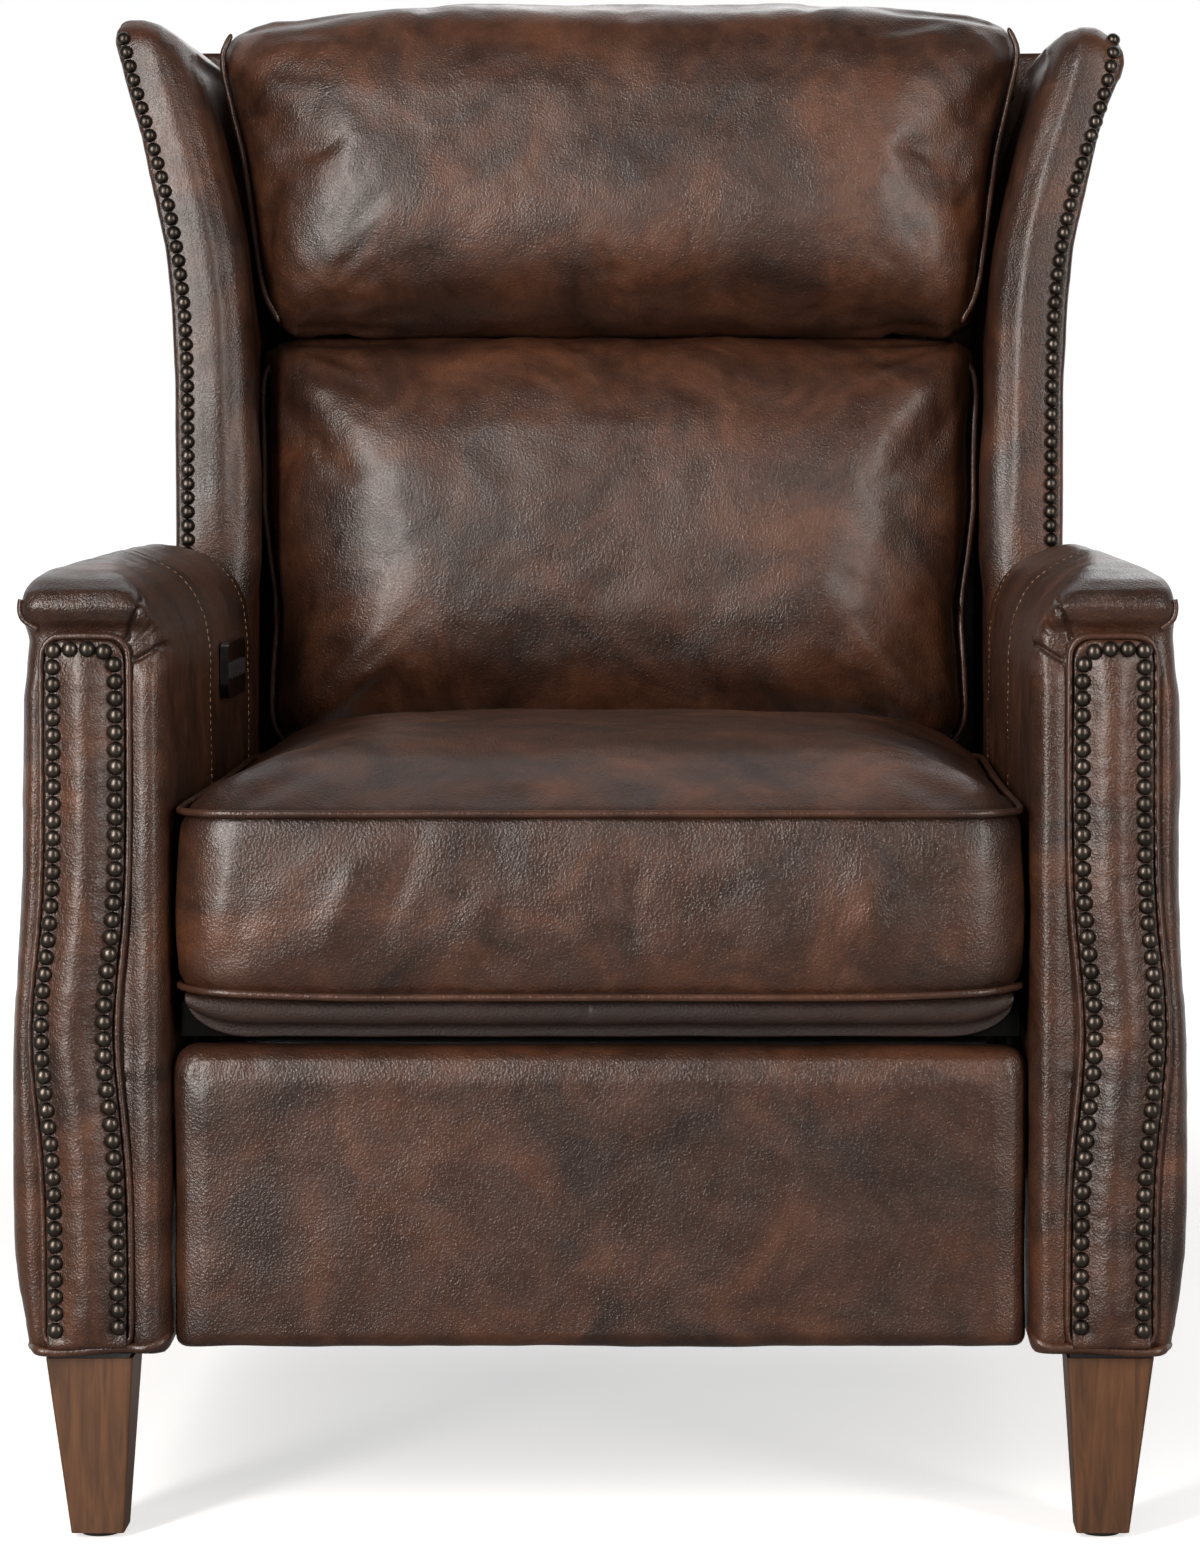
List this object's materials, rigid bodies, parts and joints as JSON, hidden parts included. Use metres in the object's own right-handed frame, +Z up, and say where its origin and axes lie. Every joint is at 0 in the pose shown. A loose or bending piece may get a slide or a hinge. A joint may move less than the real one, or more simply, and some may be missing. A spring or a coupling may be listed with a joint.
{
  "type": "power recliner",
  "caption": "Wingback power recliner in brown leather with nailhead trim, wood legs, opening footrest, reclining back and tilting headrest.",
  "frame": {"origin": "on the floor under the middle of the chair's width and depth", "axes": "+Z up, the chair faces -Y, +X to the right of someone who looks at its front"},
  "size_m": [0.808, 0.9103, 1.1103],
  "materials": {
    "brown_leather": "mottled semi-gloss",
    "walnut_wood": "satin stain",
    "frame_wood": "raw",
    "frame_steel": "satin black",
    "bright_steel": "machined",
    "spring_steel": "drawn wire",
    "black_plastic": "moulded",
    "gloss_black": "gloss",
    "button_plastic": "gloss",
    "glide_rubber": "matte",
    "socket_steel": "plated"
  },
  "bodies": {
    "chair_base": {"left_arm": "brown_leather", "right_arm": "brown_leather", "left_front_panel": "brown_leather", "right_front_panel": "brown_leather", "panel_piping": "brown_leather", "front_left_leg": "walnut_wood", "front_right_leg": "walnut_wood", "rear_left_leg": "walnut_wood", "rear_right_leg": "walnut_wood", "leg_glides": "glide_rubber", "leg_plates": "frame_steel", "left_side_plate": "frame_steel", "right_side_plate": "frame_steel", "cross_tubes": "frame_steel", "rear_rail": "brown_leather", "seat_frame": "frame_wood", "seat_springs": "spring_steel", "seat_lip": "brown_leather", "seat_cushion": "brown_leather", "seat_piping": "brown_leather", "control_pad": "gloss_black", "usb_socket": "socket_steel", "footrest_motor": "black_plastic", "footrest_drive_rail": "frame_steel", "back_motor": "black_plastic", "back_drive_rail": "frame_steel", "power_inlet": "black_plastic"},
    "button_footrest_out": {"button_footrest_out": "button_plastic"},
    "button_footrest_in": {"button_footrest_in": "button_plastic"},
    "button_head_up": {"button_head_up": "button_plastic"},
    "button_head_down": {"button_head_down": "button_plastic"},
    "button_home": {"button_home": "button_plastic"},
    "footrest_carriage": {"footrest_carriage": "black_plastic"},
    "front_links": {"front_links": "frame_steel"},
    "rear_links": {"rear_links": "frame_steel", "footrest_shaft": "bright_steel"},
    "upper_links": {"upper_links": "frame_steel"},
    "lower_links": {"lower_links": "frame_steel"},
    "footrest": {"footrest_brackets": "frame_steel", "footrest_board": "frame_wood", "footrest_pad": "brown_leather"},
    "back": {"back_shaft": "bright_steel", "back_brackets": "frame_steel", "back_posts": "frame_wood", "back_rails": "frame_wood", "back_springs": "spring_steel", "back_cushion": "brown_leather", "back_piping": "brown_leather", "left_wing": "brown_leather", "right_wing": "brown_leather", "outside_back": "brown_leather", "back_top_pad": "brown_leather", "headrest_motor": "black_plastic"},
    "back_carriage": {"back_carriage": "black_plastic"},
    "headrest": {"headrest_hinge": "frame_steel", "headrest_board": "frame_wood", "headrest_cushion": "brown_leather", "headrest_piping": "brown_leather"},
    "headrest_carriage": {"headrest_carriage": "black_plastic"}
  },
  "joints": [
    {"name": "footrest_open", "type": "hinge", "parent": "chair_base", "child": "rear_links", "pos_m": [0, -0.32501, 0.325], "axis": [-1, 0, 0], "range_deg": [0, 90]},
    {"name": "upper_link_turn", "type": "hinge", "parent": "rear_links", "child": "upper_links", "pos_m": [0, -0.31019, 0.15565], "axis": [-1, 0, 0], "range_deg": [-135, 0]},
    {"name": "lower_link_turn", "type": "hinge", "parent": "rear_links", "child": "lower_links", "pos_m": [0, -0.30197, 0.19275], "axis": [-1, 0, 0], "range_deg": [-135, 0]},
    {"name": "footrest_turn", "type": "hinge", "parent": "upper_links", "child": "footrest", "pos_m": [0, -0.33364, 0.2886], "axis": [-1, 0, 0], "range_deg": [0, 135]},
    {"name": "front_link_turn", "type": "hinge", "parent": "chair_base", "child": "front_links", "pos_m": [0, -0.36271, 0.2774], "axis": [-1, 0, 0], "range_deg": [0, 102.56]},
    {"name": "footrest_drive", "type": "slide", "parent": "chair_base", "child": "footrest_carriage", "axis": [0, -1, 0], "range_m": [0, 0.08487]},
    {"name": "back_recline", "type": "hinge", "parent": "chair_base", "child": "back", "pos_m": [0, 0.19999, 0.33], "axis": [-1, 0, 0], "range_deg": [0, 35]},
    {"name": "back_drive", "type": "slide", "parent": "chair_base", "child": "back_carriage", "axis": [0, -1, 0], "range_m": [0, 0.0361]},
    {"name": "headrest_tilt", "type": "hinge", "parent": "back", "child": "headrest", "pos_m": [0, 0.26002, 0.838], "axis": [1, 0, 0], "range_deg": [0, 25]},
    {"name": "headrest_drive", "type": "slide", "parent": "back", "child": "headrest_carriage", "axis": [0, 0, 1], "range_m": [0, 0.04017]},
    {"name": "button_footrest_out_press", "type": "slide", "parent": "chair_base", "child": "button_footrest_out", "axis": [-1, 0, 0], "range_m": [0, 0.0012], "stiffness_N_per_m": 600, "springref_m": -0.0006},
    {"name": "button_footrest_in_press", "type": "slide", "parent": "chair_base", "child": "button_footrest_in", "axis": [-1, 0, 0], "range_m": [0, 0.0012], "stiffness_N_per_m": 600, "springref_m": -0.0006},
    {"name": "button_head_up_press", "type": "slide", "parent": "chair_base", "child": "button_head_up", "axis": [-1, 0, 0], "range_m": [0, 0.0012], "stiffness_N_per_m": 600, "springref_m": -0.0006},
    {"name": "button_head_down_press", "type": "slide", "parent": "chair_base", "child": "button_head_down", "axis": [-1, 0, 0], "range_m": [0, 0.0012], "stiffness_N_per_m": 600, "springref_m": -0.0006},
    {"name": "button_home_press", "type": "slide", "parent": "chair_base", "child": "button_home", "axis": [-1, 0, 0], "range_m": [0, 0.0012], "stiffness_N_per_m": 600, "springref_m": -0.0006}
  ],
  "couplings": [
    {"joint": "upper_link_turn", "follows": "footrest_open", "ratio": -1.5},
    {"joint": "lower_link_turn", "follows": "footrest_open", "ratio": -1.5},
    {"joint": "footrest_turn", "follows": "footrest_open", "ratio": 1.5},
    {"joint": "front_link_turn", "follows": "footrest_open", "ratio": 1.1394},
    {"joint": "footrest_drive", "follows": "footrest_open", "m_per_rad": 0.054019},
    {"joint": "back_drive", "follows": "back_recline", "m_per_rad": 0.059071},
    {"joint": "headrest_drive", "follows": "headrest_tilt", "m_per_rad": 0.092014}
  ]
}
